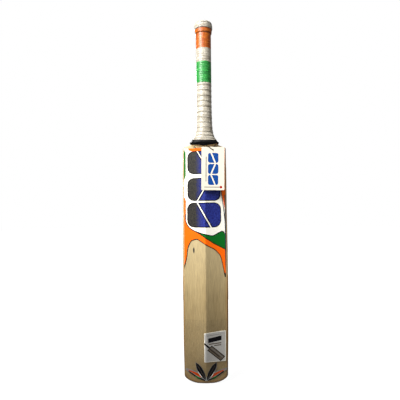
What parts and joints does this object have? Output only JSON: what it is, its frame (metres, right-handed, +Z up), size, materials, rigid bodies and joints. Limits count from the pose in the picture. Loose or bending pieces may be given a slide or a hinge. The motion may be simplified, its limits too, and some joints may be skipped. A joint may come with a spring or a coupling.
{
  "type": "cricket bat",
  "caption": "Full-size cricket bat: ridged willow blade, spliced cane handle with bound and ribbed rubber grip, stickers and a card tag hanging from a cord.",
  "frame": {"origin": "centre of the flat underside of the toe", "axes": "+Z up the blade from toe to handle, -Y out of the hitting face, +Y out of the spine, X across the width"},
  "size_m": [0.105, 0.0775, 0.8553],
  "materials": {
    "willow": "bleached willow, oiled, satin, straight grain",
    "cane": "raw cane",
    "insert_rubber": "matt sheet",
    "twine": "glued twine, wound",
    "grip_rubber": "satin, bands of off-white, green, white and orange, ringed with ribs",
    "cap_rubber": "satin",
    "black_tape": "satin tape",
    "printed_vinyl": "semi-gloss, printed",
    "clear_film": "clear, gloss",
    "silver_label": "metallised, satin",
    "cord": "thin twisted cord",
    "card": "smooth coated card"
  },
  "bodies": {
    "bat": {"blade": "willow", "cane_front_left": "cane", "cane_front_centre": "cane", "cane_front_right": "cane", "cane_front_middle_left": "cane", "cane_front_middle_centre": "cane", "cane_front_middle_right": "cane", "cane_back_middle_left": "cane", "cane_back_middle_centre": "cane", "cane_back_middle_right": "cane", "cane_back_left": "cane", "cane_back_centre": "cane", "cane_back_right": "cane", "rubber_insert_front": "insert_rubber", "rubber_insert_middle": "insert_rubber", "rubber_insert_back": "insert_rubber", "twine_binding": "twine", "rubber_grip": "grip_rubber", "end_cap": "cap_rubber", "grip_collar": "black_tape", "face_sticker": "printed_vinyl", "back_sticker": "printed_vinyl", "edge_stripe_right": "printed_vinyl", "edge_stripe_left": "printed_vinyl", "edge_badge_right": "printed_vinyl", "edge_badge_left": "printed_vinyl", "toe_film": "clear_film", "toe_sticker": "printed_vinyl", "size_label": "silver_label", "cord_loop": "cord"},
    "tag_cord": {"tag_cord": "cord"},
    "hang_tag": {"hang_tag": "card"}
  },
  "joints": [
    {"name": "cord_swing", "type": "hinge", "parent": "bat", "child": "tag_cord", "pos_m": [0, 0.028, 0.5575], "axis": [1, 0, 0], "range_deg": [0, 120]},
    {"name": "tag_swing", "type": "hinge", "parent": "tag_cord", "child": "hang_tag", "pos_m": [-0.0195, 0.0298, 0.543], "axis": [0, 0.9996, 0.0297], "range_deg": [-5, 30]}
  ]
}
